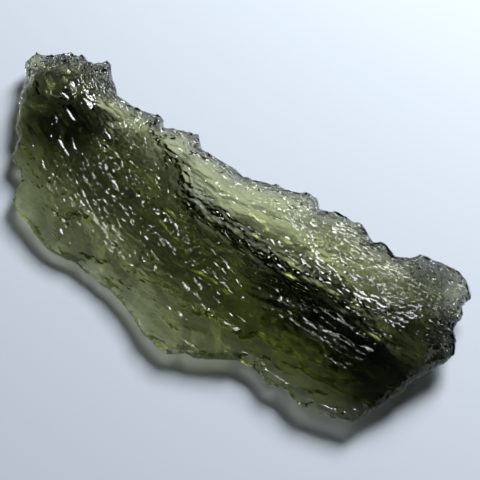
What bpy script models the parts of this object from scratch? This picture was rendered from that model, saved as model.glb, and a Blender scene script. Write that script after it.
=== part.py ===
"""A natural shard of green tektite glass, lying on its flatter side.

The shard is one solid: a long, gently arched splinter with a rugged outline. A crest runs
along it. Beyond the crest a broad wing falls slowly to the far edge, which stands clear of
the resting plane: its underside starts as a steep wall just beyond the crest. On this side of
the crest a ledged slope falls to a rippled flat that rests on the plane and thins to the near
edge. A smooth shell shaped scar is broken out of the near edge at the thick end. Everything
below is in millimetres until the mesh is made: X runs along the shard, Y from the near edge
to the far edge, Z is up.
"""
import math

import bpy
import numpy as np
from mathutils import Vector
from mathutils.geometry import delaunay_2d_cdt

NAME = "moldavite"
METRES = 0.001

# Outline of the shard seen from above, walked clockwise from the left tip
FAR_EDGE = [
    (-22.4, 4.6), (-22.3, 6.0), (-21.0, 6.4), (-20.5, 7.1), (-19.8, 7.9), (-19.3, 7.8), (-18.7, 8.3),
    (-17.7, 7.9), (-17.1, 8.3), (-16.5, 9.0), (-16.2, 9.0), (-14.9, 7.7), (-13.5, 6.7), (-11.5, 6.5),
    (-9.6, 6.8), (-9.1, 7.1), (-8.7, 7.0), (-8.0, 6.3), (-5.2, 7.4), (-3.9, 6.3), (-0.8, 6.3),
    (0.8, 6.0), (3.5, 7.0), (4.7, 7.1), (5.4, 7.4), (5.6, 7.8), (6.7, 7.8), (7.4, 7.1), (7.9, 7.2),
    (8.5, 7.6), (10.3, 7.7), (10.6, 8.0), (12.6, 7.1), (13.2, 7.5), (14.7, 7.1), (15.5, 7.6),
    (16.0, 8.4), (17.9, 8.9)]
RIGHT_END = [
    (19.0, 9.1), (20.0, 8.9), (20.8, 8.3), (21.1, 7.9), (20.9, 6.9), (21.3, 6.4), (21.4, 4.9),
    (22.0, 4.3), (22.5, 3.3), (22.3, 2.2), (21.2, -0.5), (21.1, -1.4), (19.3, -5.7)]
NEAR_EDGE = [
    (17.9, -6.3), (15.7, -6.9), (14.6, -6.8), (14.0, -6.5), (12.5, -7.0), (11.2, -6.5), (9.7, -6.6),
    (6.8, -8.5), (6.0, -8.6), (4.9, -9.5), (2.6, -9.3), (-0.4, -8.2), (-1.9, -7.9), (-6.0, -7.6),
    (-8.1, -8.0), (-9.2, -7.9), (-12.3, -7.1), (-13.8, -6.5), (-14.2, -5.8), (-14.7, -4.4),
    (-15.2, -3.9), (-16.7, -3.5)]
LEFT_END = [(-17.4, -2.1), (-17.6, -1.5), (-18.6, -0.9), (-19.4, 0.5), (-20.4, 1.7), (-21.2, 3.5),
            (-22.1, 4.2)]
EDGE_STEP = 0.6
EDGE_JAG = 0.07

# Height of the rim above the resting plane, (x, height), along the far and the near edge,
# and the band of y over which one passes into the other
FAR_RIM = [(-22, 1.6), (-15, 1.7), (-10, 1.9), (-4, 2.3), (0, 2.6), (5, 2.9), (10, 3.0), (15, 3.0),
           (19, 2.7), (22, 2.1)]
NEAR_RIM = [(-22, 1.4), (-17, 1.2), (-12, 1.15), (-8, 0.9), (-4, 0.8), (0, 0.9), (4, 1.1), (8, 1.2),
            (12, 1.3), (14, 1.5), (18, 1.5), (22, 1.5)]
RIM_BAND = (-4.0, 5.0)
RIM_WAVE = 0.16
RIM_WAVE_LENGTH = 0.77
RIM_HALF = 0.46
RIM_ROUND = 0.50
ROLL_ANGLE = 46.0

# Crest line: (x, y of the line, height, near slope in degrees)
CREST = [(-22, 3.2, 2.6, 26), (-19.3, 2.2, 3.5, 30), (-16.4, 2.7, 3.9, 32), (-13.5, 3.2, 3.4, 18),
         (-8.9, 3.1, 3.4, 12), (-4.6, 3.0, 3.6, 16), (-1.0, 2.4, 4.0, 24), (1.4, 1.2, 4.4, 28),
         (4.8, 1.2, 4.9, 30), (9.6, 1.1, 5.2, 30), (14.3, 0.9, 5.25, 28), (18.7, 1.0, 4.6, 28),
         (21, 0.8, 3.5, 28), (22.5, 0.6, 2.6, 26)]
# The flat this side of the crest: (x, height at the crest)
FLAT = [(-22, 2.1), (-19, 2.7), (-16, 3.4), (-13, 3.0), (-6, 2.7), (0, 2.9), (5, 3.4), (10, 4.0),
        (14, 4.2), (18, 3.8), (20.5, 2.9), (22.5, 2.0)]
# How late the flat and the wing start to fall toward their rims
FLAT_FALL = 2.8
FAR_FALL = 3.4

# Low second ridge on the wing: (x, y of the line, height)
FAR_RIDGE = [(-6, 3.9, 0.0), (-1.6, 3.1, 0.14), (1.3, 2.6, 0.20), (5.7, 3.3, 0.22), (9.5, 3.9, 0.20),
             (11.7, 4.7, 0.14), (15, 5.3, 0.0)]
FAR_RIDGE_WIDTH = 0.5

# Shell shaped scar at the thick end of the near edge
SCAR_ENDS = (10.2, 18.6)
SCAR_RISE = (0.05, 0.155)
SCAR_CLOSE = 0.30
SCAR_MARGIN = 0.12
SCAR_ETCH = 0.15

# Ripples across the flat: (x, y, height) of their middles, lying along the shard
RIPPLES = [(-7.2, -4.4, 0.26), (5.5, -2.6, 0.28), (8.2, -3.4, 0.24), (-14.0, -0.6, 0.22),
           (-1.5, -1.2, 0.24), (-4.5, -5.6, 0.18), (1.0, -5.2, 0.22), (7.0, 0.1, 0.26),
           (12.5, -1.4, 0.26), (16.5, -1.6, 0.22), (-10.5, 1.0, 0.18), (12.5, 3.4, 0.14)]
RIPPLE_LENGTH = 2.6
RIPPLE_WIDTH = 0.55
RIPPLE_TURN = 0.06
RIPPLE_STEEPNESS = 2.2

# Underside: (x, rise in degrees, y where it starts), toward the near edge and the far edge
UNDER_NEAR = [(-22, 8, 0.5), (-16, 9, -1.0), (-12, 8, -3.4), (-6, 7, -4.0), (0, 7, -4.4), (5, 7, -4.4),
              (10, 10, -2.2), (18, 11, -1.8), (22, 12, -0.6)]
UNDER_FAR = [(-22, 60, 3.6), (-19, 74, 2.9), (-16, 74, 3.2), (-13, 45, 3.4), (-10, 26, 3.4), (-4, 46, 2.2),
             (-1, 70, 1.6), (6, 73, 1.0), (14, 73, 0.9), (19, 70, 0.9), (22, 40, 1.0)]
# Height of the wing's underside at the crest above that of its far rim
WING_LIFT = [(-22, 0.0), (-19, 0.3), (-16, 0.5), (-12, 0.0), (-4, 0.2), (1, 0.5), (6, 0.6), (11, 0.1),
             (15, -0.5), (19, -0.9), (22, -0.3)]
WING_ROOT = 2.0
UNDER_END_ANGLE = 5.0
UNDER_END_START = 13.0
UNDER_WEAR = 0.10
# Worn flat spot under the shard's middle, that it rests on: middle and half axes
REST_SPOT = (0.6, -0.9)
REST_HALF = (3.4, 1.5)

# Lumps and etched hollows, sizes across and heights, fading out this near to the rim
LUMP_SIZE = 3.4
LUMP_TOP = 0.22
LUMP_UNDER = 0.34
HOLLOW_LENGTH = 1.9
HOLLOW_WIDTH = 0.95
HOLLOW_TOP = 0.28
HOLLOW_UNDER = 0.18
RELIEF_FADE = 0.6

# Ledges that face the near edge: length, width, height and share of the width that is steep,
# the band of y that they cover, and where along the shard: (x, share)
LEDGE_LENGTH = 5.0
LEDGE_WIDTH = 1.15
LEDGE_HEIGHT = 0.33
LEDGE_STEEP = 0.36
LEDGE_BAND = (-6.0, -3.5)
LEDGE_SHARE = [(-20, 0.3), (-16, 0.5), (-12, 0.1), (-6, 0.15), (0, 0.5), (4, 1.0), (18, 1.0), (21, 0.5)]

# The grain of the glass, turned a little from the shard's axis at its left end
GRAIN_TURN = [(-22, -16.0), (-6, -9.0), (6, -2.0), (14, 2.0), (22, 4.0)]

# Facet sizes: the upper face, the underside, the row along the rim, the wall under the wing
TOP_STEP = 0.47
UNDER_STEP = 0.72
RIM_GAP = 0.25
WALL_STEP = 0.62
THINNEST = 0.30
SEED = 20

# Bottle green, clear
GLASS_COLOUR = (0.22, 0.28, 0.09, 1.0)
GLASS_ROUGHNESS = 0.08
GLASS_IOR = 1.49


def along(table, x, column=1):
    """Value of a table's column at x, straight between its rows."""
    rows = np.array(table, dtype=float)
    return np.interp(x, rows[:, 0], rows[:, column])


def soft_min(a, b, width):
    """Smaller of a and b, with the meeting line rounded over the width."""
    blend = np.clip(0.5 + 0.5 * (b - a) / width, 0.0, 1.0)
    return b + (a - b) * blend - width * blend * (1.0 - blend)


def soft_max(a, b, width):
    return -soft_min(-a, -b, width)


class Noise:
    """Smooth gradient noise and cell patterns on a seeded table."""

    TABLE = 256

    def __init__(self, seed):
        rng = np.random.default_rng(seed)
        self.order = rng.permutation(self.TABLE)
        angle = rng.uniform(0.0, 2.0 * math.pi, self.TABLE)
        self.slope = np.stack([np.cos(angle), np.sin(angle)], axis=-1)
        self.offset = rng.uniform(0.0, 1.0, (self.TABLE, 2))

    def cell(self, i, j):
        return self.order[(self.order[i % self.TABLE] + j) % self.TABLE]

    def smooth(self, u, v):
        """Gradient noise, about -0.7 to 0.7, with features about one unit across."""
        i = np.floor(u).astype(int)
        j = np.floor(v).astype(int)
        fu = u - i
        fv = v - j
        total = np.zeros_like(u)
        for di in (0, 1):
            for dj in (0, 1):
                slope = self.slope[self.cell(i + di, j + dj)]
                weight_u = 1.0 - np.abs(fu - di)
                weight_v = 1.0 - np.abs(fv - dj)
                fade = (weight_u ** 3 * (weight_u * (weight_u * 6 - 15) + 10)
                        * weight_v ** 3 * (weight_v * (weight_v * 6 - 15) + 10))
                total += fade * (slope[..., 0] * (fu - di) + slope[..., 1] * (fv - dj))
        return total

    def hollows(self, u, v):
        """Bowls with sharp walls between them: 0 in each middle, about 1 on the walls."""
        i = np.floor(u).astype(int)
        j = np.floor(v).astype(int)
        nearest = np.full_like(u, 9.0)
        for di in (-1, 0, 1):
            for dj in (-1, 0, 1):
                offset = self.offset[self.cell(i + di, j + dj)]
                du = i + di + offset[..., 0] - u
                dv = j + dj + offset[..., 1] - v
                nearest = np.minimum(nearest, du * du + dv * dv)
        return np.clip(nearest / 0.55, 0.0, 1.3)


def outline():
    """Closed outline with its small jags, as an array of points."""
    corners = np.array(FAR_EDGE + RIGHT_END + NEAR_EDGE + LEFT_END, dtype=float)
    rng = np.random.default_rng(SEED)
    points = []
    for start, end in zip(corners, np.roll(corners, -1, axis=0)):
        run = end - start
        length = np.hypot(*run)
        steps = max(1, round(length / EDGE_STEP))
        across = np.array([-run[1], run[0]]) / length
        for step in range(steps):
            jag = rng.uniform(-EDGE_JAG, EDGE_JAG) if step else 0.0
            points.append(start + run * step / steps + across * jag)
    return np.array(points)


def edge_distance(points, loop):
    """Distance from each point to the closed loop."""
    start = loop
    run = np.roll(loop, -1, axis=0) - start
    offset = points[:, None, :] - start[None, :, :]
    share = np.clip((offset * run).sum(-1) / (run * run).sum(-1), 0.0, 1.0)
    gap = offset - share[..., None] * run
    return np.sqrt((gap * gap).sum(-1).min(axis=1))


def inside(points, loop):
    """True for the points inside the closed loop."""
    x, y = points[:, 0:1], points[:, 1:2]
    x0, y0 = loop[:, 0], loop[:, 1]
    x1, y1 = np.roll(x0, -1), np.roll(y0, -1)
    spans = (y0 > y) != (y1 > y)
    rise = np.where(y1 == y0, 1.0, y1 - y0)
    crossing = x < (x1 - x0) * (y - y0) / rise + x0
    return (spans & crossing).sum(axis=1) % 2 == 1


def scatter(loop, step, seed):
    """Staggered points inside the loop, a step apart and a little uneven."""
    rng = np.random.default_rng(seed)
    low, high = loop.min(axis=0), loop.max(axis=0)
    row_gap = step * math.sqrt(3.0) / 2.0
    rows = []
    for row, y in enumerate(np.arange(low[1], high[1], row_gap)):
        x = np.arange(low[0] + (row % 2) * step / 2.0, high[0], step)
        rows.append(np.stack([x, np.full_like(x, y)], axis=-1))
    points = np.concatenate(rows)
    points += rng.uniform(-0.18, 0.18, points.shape) * step
    points = points[inside(points, loop)]
    return points[edge_distance(points, loop) > RIM_GAP + 0.45 * step]


def rim_ring(loop):
    """Row of points just inside the loop, for the rounded rim."""
    run = np.roll(loop, -1, axis=0) - np.roll(loop, 1, axis=0)
    inward = np.stack([run[:, 1], -run[:, 0]], axis=-1) / np.hypot(run[:, 0], run[:, 1])[:, None]
    ring = loop + inward * RIM_GAP
    ring = ring[inside(ring, loop)]
    return ring[edge_distance(ring, loop) > 0.6 * RIM_GAP]


def wall_rows():
    """Foot and head of the wall under the wing, and their distance apart, along the shard."""
    x = np.arange(UNDER_FAR[1][0], UNDER_FAR[-2][0], WALL_STEP)
    foot = along(UNDER_FAR, x, 2)
    top = along(FAR_RIM, x) + along(WING_LIFT, x) - RIM_HALF
    width = top / np.tan(np.radians(along(UNDER_FAR, x)))
    return np.concatenate([np.column_stack([x, foot]), np.column_stack([x + WALL_STEP / 2.0, foot + width])])


def rim_height(x, y):
    """Height of the rim, from the near edge's table to the far edge's."""
    share = np.clip((y - RIM_BAND[0]) / (RIM_BAND[1] - RIM_BAND[0]), 0.0, 1.0)
    return along(NEAR_RIM, x) * (1.0 - share) + along(FAR_RIM, x) * share


def grain_frame(x, y):
    """Coordinates along and across the grain of the glass."""
    turn = np.radians(along(GRAIN_TURN, x))
    return x * np.cos(turn) + y * np.sin(turn), -x * np.sin(turn) + y * np.cos(turn)


def ripples(u, v):
    """Long low swellings that lie along the grain."""
    total = np.zeros_like(u)
    for x, y, height in RIPPLES:
        middle_u, middle_v = grain_frame(np.array([x], dtype=float), np.array([y], dtype=float))
        du = (u - middle_u) / RIPPLE_LENGTH
        dv = (v - middle_v - RIPPLE_TURN * (u - middle_u)) / RIPPLE_WIDTH
        steepness = np.where(dv > 0.0, RIPPLE_STEEPNESS, 1.0)
        total += height * np.exp(-du * du - dv * dv * steepness)
    return total


def ledges(x, y, u, v, noise):
    """Small steep steps that face the near edge, long along the grain."""
    sway = 1.1 * noise.smooth(u / LEDGE_LENGTH + 69.0, v / (2.2 * LEDGE_WIDTH) + 20.0)
    phase = v / LEDGE_WIDTH + sway
    share = phase - np.floor(phase)
    step = np.where(share < LEDGE_STEEP, share / LEDGE_STEEP, (1.0 - share) / (1.0 - LEDGE_STEEP))
    swell = 0.7 + 1.2 * noise.smooth(1.7 * u / LEDGE_LENGTH + 9.0, 0.8 * v / LEDGE_WIDTH + 33.0)
    below_crest = np.clip((along(CREST, x) - y) / 0.5, 0.0, 1.0)
    above_edge = np.clip((y - LEDGE_BAND[0]) / (LEDGE_BAND[1] - LEDGE_BAND[0]), 0.0, 1.0)
    covered = below_crest * above_edge * along(LEDGE_SHARE, x)
    return LEDGE_HEIGHT * np.clip(swell, 0.0, 1.3) * (step - 0.5) * covered


def scar_height(x, d, rim):
    """Bowl of the broken scar, measured up from the near edge."""
    outside = np.clip(SCAR_ENDS[0] - x, 0.0, None) + np.clip(x - SCAR_ENDS[1], 0.0, None)
    return rim + RIM_HALF * 0.6 + SCAR_RISE[0] * d + SCAR_RISE[1] * d * d + SCAR_CLOSE * outside ** 2


def wing_share(past_crest, d):
    """0 at the crest, 1 at the far rim."""
    return np.clip(past_crest, 0.0, None) / (np.abs(past_crest) + d + 0.01)


def top_form(x, y, d, rim):
    """Crest, wing, near slope, flat, scar and rim of the upper face."""
    shoulder = rim + RIM_HALF
    past_crest = y - along(CREST, x)
    crest = along(CREST, x, 2)
    wing = shoulder + (crest - shoulder) * (1.0 - wing_share(past_crest, d) ** FAR_FALL)
    ridge_gap = (y - along(FAR_RIDGE, x)) / FAR_RIDGE_WIDTH
    wing += along(FAR_RIDGE, x, 2) * np.exp(-np.abs(ridge_gap))
    drop = np.clip(-past_crest, 0.0, None)
    near_slope = crest - np.tan(np.radians(along(CREST, x, 3))) * drop
    near_share = drop / (drop + d + 0.01)
    flat = shoulder + (along(FLAT, x) - shoulder) * (1.0 - near_share ** FLAT_FALL)
    near_side = soft_max(near_slope, flat, 0.25)
    height = np.where(past_crest > 0.0, wing, near_side)
    height = np.where(y < 0.0, soft_min(height, scar_height(x, d, rim), 0.08), height)
    roll = shoulder + math.tan(math.radians(ROLL_ANGLE)) * d
    return soft_min(height, roll, 0.2)


def under_form(x, y, d, rim):
    """Flat belly, the wall beyond it, the wing's underside, and the rise to the near rim."""
    past_crest = y - along(CREST, x)
    root = np.clip(1.0 + past_crest / WING_ROOT, 0.0, 1.0)
    lift = along(WING_LIFT, x) * root * (1.0 - wing_share(past_crest, d) ** FAR_FALL)
    near_rise = np.tan(np.radians(along(UNDER_NEAR, x))) * np.clip(along(UNDER_NEAR, x, 2) - y, 0.0, None)
    wall_rise = np.tan(np.radians(along(UNDER_FAR, x))) * np.clip(y - along(UNDER_FAR, x, 2), 0.0, None)
    end_rise = math.tan(math.radians(UNDER_END_ANGLE)) * np.clip(np.abs(x) - UNDER_END_START, 0.0, None)
    return soft_min(near_rise + wall_rise + end_rise, rim - RIM_HALF + lift, 0.15)


def surfaces(points, loop, noise):
    """Heights of the upper face and of the underside at the points."""
    x, y = points[:, 0], points[:, 1]
    d = edge_distance(points, loop)
    rim = rim_height(x, y)
    u, v = grain_frame(x, y)
    settled = 1.0 - np.exp(-d / RELIEF_FADE)
    lumps = noise.smooth(u / (1.5 * LUMP_SIZE), v / LUMP_SIZE)
    under_lumps = noise.smooth(u / LUMP_SIZE + 31.0, v / LUMP_SIZE + 7.0)
    bend = 0.5 * noise.smooth(u / 2.0 + 11.0, v / 2.0)
    hollows = noise.hollows(u / HOLLOW_LENGTH + bend, v / HOLLOW_WIDTH + bend)
    under_hollows = noise.hollows(u / HOLLOW_LENGTH + 40.0, v / HOLLOW_WIDTH + 17.0)
    top = top_form(x, y, d, rim)
    in_scar = (y < 0.0) & (scar_height(x, d, rim) - SCAR_MARGIN < top)
    etched = np.where(in_scar, SCAR_ETCH, 1.0) * settled
    top += etched * (LUMP_TOP * lumps + HOLLOW_TOP * (hollows - 0.5) + ripples(u, v)
                     + ledges(x, y, u, v, noise))
    under = under_form(x, y, d, rim) + settled * (LUMP_UNDER * under_lumps
                                                 + HOLLOW_UNDER * (under_hollows - 0.6)) + 0.05
    spot = ((x - REST_SPOT[0]) / REST_HALF[0]) ** 2 + ((y - REST_SPOT[1]) / REST_HALF[1]) ** 2
    under = np.where((under < UNDER_WEAR) | (spot < 1.0), 0.0, under)
    round_off = np.sqrt(1.0 - (1.0 - np.clip(d / RIM_ROUND, 0.0, 1.0)) ** 2)
    top = rim + (top - rim) * round_off
    under = rim + (under - rim) * round_off
    return np.maximum(top, under + THINNEST * round_off), np.where(under < 0.02, 0.0, under)


def sheet(loop, inner):
    """Points and triangles that fill the outline, the outline's points first."""
    points = [Vector(p) for p in np.concatenate([loop, inner])]
    count = len(loop)
    edges = [(i, (i + 1) % count) for i in range(count)]
    found, _, triangles, _, _, _ = delaunay_2d_cdt(points, edges, [], 1, 1e-5)
    return np.array([tuple(p) for p in found]), triangles


def top_sheet(loop):
    return sheet(loop, np.concatenate([rim_ring(loop), scatter(loop, TOP_STEP, SEED + 1)]))


def under_sheet(loop):
    """Underside sheet, with rows of points along the wall under the wing."""
    wall = wall_rows()
    wall = wall[inside(wall, loop)]
    wall = wall[edge_distance(wall, loop) > RIM_GAP + 0.45 * WALL_STEP]
    rest = scatter(loop, UNDER_STEP, SEED + 2)
    gap = np.hypot(rest[:, None, 0] - wall[:, 0], rest[:, None, 1] - wall[:, 1]).min(axis=1)
    return sheet(loop, np.concatenate([rim_ring(loop), wall, rest[gap > 0.7 * WALL_STEP]]))


def shard_mesh():
    """Mesh of the whole shard: the upper face and the underside on one rim."""
    noise = Noise(SEED)
    loop = outline()
    count = len(loop)
    wave = noise.smooth(loop[:, 0] / RIM_WAVE_LENGTH, loop[:, 1] / RIM_WAVE_LENGTH)
    rim = rim_height(loop[:, 0], loop[:, 1]) + RIM_WAVE * wave
    top_points, top_faces = top_sheet(loop)
    under_points, under_faces = under_sheet(loop)
    top_height, _ = surfaces(top_points[count:], loop, noise)
    _, under_height = surfaces(under_points[count:], loop, noise)
    vertices = np.concatenate([
        np.column_stack([loop, rim]),
        np.column_stack([top_points[count:], top_height]),
        np.column_stack([under_points[count:], under_height])])
    shift = len(top_points) - count
    faces = [tuple(face) for face in top_faces]
    faces += [tuple(i if i < count else i + shift for i in reversed(face)) for face in under_faces]
    middle = (vertices.min(axis=0) + vertices.max(axis=0)) / 2.0
    vertices -= (middle[0], middle[1], 0.0)
    mesh = bpy.data.meshes.new(NAME)
    mesh.from_pydata([tuple(v) for v in vertices * METRES], [], faces)
    mesh.validate()
    return mesh


def glass():
    """Clear bottle green glass with an etched skin."""
    material = bpy.data.materials.new(NAME + "_glass")
    material.use_nodes = True
    shader = material.node_tree.nodes["Principled BSDF"]
    shader.inputs["Base Color"].default_value = GLASS_COLOUR
    shader.inputs["Roughness"].default_value = GLASS_ROUGHNESS
    shader.inputs["Metallic"].default_value = 0.0
    shader.inputs["IOR"].default_value = GLASS_IOR
    shader.inputs["Transmission Weight"].default_value = 1.0
    return material


def main():
    for item in list(bpy.data.objects):
        bpy.data.objects.remove(item)
    collection = bpy.data.collections.new(NAME)
    bpy.context.scene.collection.children.link(collection)
    mesh = shard_mesh()
    mesh.materials.append(glass())
    collection.objects.link(bpy.data.objects.new(NAME, mesh))


main()
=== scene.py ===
"""The looks of a clear bottle green moldavite shard: its etched skin, its glass, its stage.

The shard is rebuilt here at a fine grain from the same named forms as the solid, and replaces it.
It adds what the solid leaves out: fine etched pits, cups with tilted floors, terraces, the folds
and crumbs of the rim, the small chips of its edge, painted shade in patches and on the crumbled
skin, dark threads along the grain that are partly painted shade, and the frost of the underside.
Lengths are in millimetres where nothing else is said; X runs along the shard, Y toward its far
side and Z up.
"""

import math

import bpy
import numpy as np
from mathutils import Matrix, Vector
from mathutils.geometry import delaunay_2d_cdt


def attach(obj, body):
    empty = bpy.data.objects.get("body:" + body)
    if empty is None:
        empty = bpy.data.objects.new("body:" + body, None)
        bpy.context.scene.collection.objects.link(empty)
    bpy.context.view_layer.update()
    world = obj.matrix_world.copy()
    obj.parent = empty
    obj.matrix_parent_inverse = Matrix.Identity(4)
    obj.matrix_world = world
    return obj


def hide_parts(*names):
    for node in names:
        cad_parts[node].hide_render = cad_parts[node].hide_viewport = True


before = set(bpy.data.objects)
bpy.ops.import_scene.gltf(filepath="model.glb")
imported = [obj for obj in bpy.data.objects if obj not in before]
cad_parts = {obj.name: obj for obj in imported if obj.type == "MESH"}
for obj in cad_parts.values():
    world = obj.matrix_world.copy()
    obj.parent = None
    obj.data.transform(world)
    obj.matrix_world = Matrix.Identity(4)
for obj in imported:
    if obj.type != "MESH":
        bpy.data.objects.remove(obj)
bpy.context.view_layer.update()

PIECE = "moldavite_glass"
METRES = 0.001

# Outline of the shard seen from above, walked clockwise from the left tip
FAR_EDGE = [
    (-22.4, 4.6), (-22.3, 6.0), (-21.0, 6.4), (-20.5, 7.1), (-19.8, 7.9), (-19.3, 7.8), (-18.7, 8.3),
    (-17.7, 7.9), (-17.1, 8.3), (-16.5, 9.0), (-16.2, 9.0), (-14.9, 7.7), (-13.5, 6.7), (-11.5, 6.5),
    (-9.6, 6.8), (-9.1, 7.1), (-8.7, 7.0), (-8.0, 6.3), (-5.2, 7.4), (-3.9, 6.3), (-0.8, 6.3),
    (0.8, 6.0), (3.5, 7.0), (4.7, 7.1), (5.4, 7.4), (5.6, 7.8), (6.7, 7.8), (7.4, 7.1), (7.9, 7.2),
    (8.5, 7.6), (10.3, 7.7), (10.6, 8.0), (12.6, 7.1), (13.2, 7.5), (14.7, 7.1), (15.5, 7.6),
    (16.0, 8.4), (17.9, 8.9)]
RIGHT_END = [
    (19.0, 9.1), (20.0, 8.9), (20.8, 8.3), (21.1, 7.9), (20.9, 6.9), (21.3, 6.4), (21.4, 4.9),
    (22.0, 4.3), (22.5, 3.3), (22.3, 2.2), (21.2, -0.5), (21.1, -1.4), (19.3, -5.7)]
NEAR_EDGE = [
    (17.9, -6.3), (15.7, -6.9), (14.6, -6.8), (14.0, -6.5), (12.5, -7.0), (11.2, -6.5), (9.7, -6.6),
    (6.8, -8.5), (6.0, -8.6), (4.9, -9.5), (2.6, -9.3), (-0.4, -8.2), (-1.9, -7.9), (-6.0, -7.6),
    (-8.1, -8.0), (-9.2, -7.9), (-12.3, -7.1), (-13.8, -6.5), (-14.2, -5.8), (-14.7, -4.4),
    (-15.2, -3.9), (-16.7, -3.5)]
LEFT_END = [(-17.4, -2.1), (-17.6, -1.5), (-18.6, -0.9), (-19.4, 0.5), (-20.4, 1.7), (-21.2, 3.5),
            (-22.1, 4.2)]
# Steps and jags of the outline, and those of the small chips of its edge
EDGE_STEP = 0.6
EDGE_JAG = 0.07
FINE_STEP = 0.12
FINE_JAG = 0.04

# Height of the rim above the resting plane, (x, height), along the far and the near edge
FAR_RIM = [(-22, 1.6), (-15, 1.7), (-10, 1.9), (-4, 2.3), (0, 2.6), (5, 2.9), (10, 3.0), (15, 3.0),
           (19, 2.7), (22, 2.1)]
NEAR_RIM = [(-22, 1.4), (-17, 1.2), (-12, 1.15), (-8, 0.9), (-4, 0.8), (0, 0.9), (4, 1.1), (8, 1.2),
            (12, 1.3), (14, 1.5), (18, 1.5), (22, 1.5)]
# Where across the shard the rim goes over from the near edge's height to the far edge's
RIM_BAND = (-4.0, 5.0)
# Small waves of the rim: their height, and about how many there are in a millimetre
RIM_WAVE = 0.16
RIM_WAVE_RATE = 1.3
# Half the thickness of the rim, how far in it is rounded, and the steepest rise from it in
# degrees; each blend is the width over which two forms meet in a round
RIM_HALF = 0.46
RIM_ROUND = 0.50
ROLL_ANGLE = 46.0
ROLL_BLEND = 0.2

# Crest line: (x, y of the line, height, near slope in degrees)
CREST = [(-22, 3.2, 2.6, 26), (-19.3, 2.2, 3.5, 30), (-16.4, 2.7, 3.9, 32), (-13.5, 3.2, 3.4, 18),
         (-8.9, 3.1, 3.4, 12), (-4.6, 3.0, 3.6, 16), (-1.0, 2.4, 4.0, 24), (1.4, 1.2, 4.4, 28),
         (4.8, 1.2, 4.9, 30), (9.6, 1.1, 5.2, 30), (14.3, 0.9, 5.25, 28), (18.7, 1.0, 4.6, 28),
         (21, 0.8, 3.5, 28), (22.5, 0.6, 2.6, 26)]
# The flat this side of the crest: (x, height at the crest)
FLAT = [(-22, 2.1), (-19, 2.7), (-16, 3.4), (-13, 3.0), (-6, 2.7), (0, 2.9), (5, 3.4), (10, 4.0),
        (14, 4.2), (18, 3.8), (20.5, 2.9), (22.5, 2.0)]
FLAT_BLEND = 0.25
# How squarely the flat and the far slope end at the rim
FLAT_FALL = 2.8
FAR_FALL = 3.4
# Added to a length that is divided by, so that it is never zero
NO_GAP = 0.01

# Low second ridge on the far slope: (x, y of the line, height)
FAR_RIDGE = [(-6, 3.9, 0.0), (-1.6, 3.1, 0.14), (1.3, 2.6, 0.20), (5.7, 3.3, 0.22), (9.5, 3.9, 0.20),
             (11.7, 4.7, 0.14), (15, 5.3, 0.0)]
FAR_RIDGE_WIDTH = 0.5

# Shell shaped scar at the thick end of the near edge: its ends, the height of its lip as a share
# of the rim's half, the straight and the growing rise of its bowl, and how fast it closes past
# its ends
SCAR_ENDS = (10.2, 18.6)
SCAR_LIP = 0.6
SCAR_RISE = (0.05, 0.155)
SCAR_CLOSE = 0.30
SCAR_BLEND = 0.08
# How far above the other forms the bowl may be where the skin is still the scar's
SCAR_MARGIN = 0.12

# Ripples that lie along the grain: (x, y, height) of their middles
RIPPLES = [(-7.2, -4.4, 0.26), (5.5, -2.6, 0.28), (8.2, -3.4, 0.24), (-14.0, -0.6, 0.10),
           (-1.5, -1.2, 0.24), (-4.5, -5.6, 0.18), (1.0, -5.2, 0.22), (7.0, 0.1, 0.26),
           (12.5, -1.4, 0.26), (16.5, -1.6, 0.22), (-10.5, 1.0, 0.18), (12.5, 3.4, 0.14)]
RIPPLE_LENGTH = 2.6
RIPPLE_WIDTH = 0.55
# How far a ripple leans across the grain, and how much faster its far side falls
RIPPLE_SLANT = 0.06
RIPPLE_STEEPNESS = 2.2

# Underside: (x, rise in degrees, y where it starts), toward the near edge and the far edge
UNDER_NEAR = [(-22, 8, 0.5), (-16, 9, -1.0), (-12, 8, -3.4), (-6, 7, -4.0), (0, 7, -4.4), (5, 7, -4.4),
              (10, 10, -2.2), (18, 11, -1.8), (22, 12, -0.6)]
UNDER_FAR = [(-22, 60, 3.6), (-19, 74, 2.9), (-16, 74, 3.2), (-13, 45, 3.4), (-10, 26, 3.4), (-4, 46, 2.2),
             (-1, 70, 1.6), (6, 73, 1.0), (14, 73, 0.9), (19, 70, 0.9), (22, 40, 1.0)]
# Height of the wing's underside at the crest above that of its far rim
WING_LIFT = [(-22, 0.0), (-19, 0.3), (-16, 0.5), (-12, 0.0), (-4, 0.2), (1, 0.5), (6, 0.6), (11, 0.1),
             (15, -0.5), (19, -0.9), (22, -0.3)]
# Distance this side of the crest over which that height fades
WING_ROOT = 2.0
# Rise of the underside toward both ends, in degrees, and how far from the middle it starts
UNDER_END_ANGLE = 5.0
UNDER_END_START = 13.0
UNDER_BLEND = 0.15
# The belly's height above the resting plane, and the height below which its skin is worn flat
UNDER_CLEAR = 0.05
UNDER_WEAR = 0.10
# Flat spot on which the shard rests: middle and half axes
REST_SPOT = (0.6, -0.9)
REST_HALF = (3.4, 1.5)

# Lumps and etched hollows: sizes and heights, and the mean of the hollows, so that they only
# raise and lower the skin about its form
LUMP_SIZE = 3.4
LUMP_STRETCH = 1.5
LUMP_TOP = 0.22
LUMP_UNDER = 0.34
HOLLOW_LENGTH = 1.9
HOLLOW_WIDTH = 0.95
HOLLOW_TOP = 0.10
HOLLOW_TOP_MEAN = 0.5
HOLLOW_UNDER = 0.16
HOLLOW_UNDER_MEAN = 0.6
# How far the rows of hollows bend, and the size of the bends
HOLLOW_BEND = (0.5, 2.0)

# Distance from the rim over which each kind of relief grows to its full height
LUMPS_GROW = 0.6
ETCHING_GROWS = 0.2
FOLDS_GROW = 0.12

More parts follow.
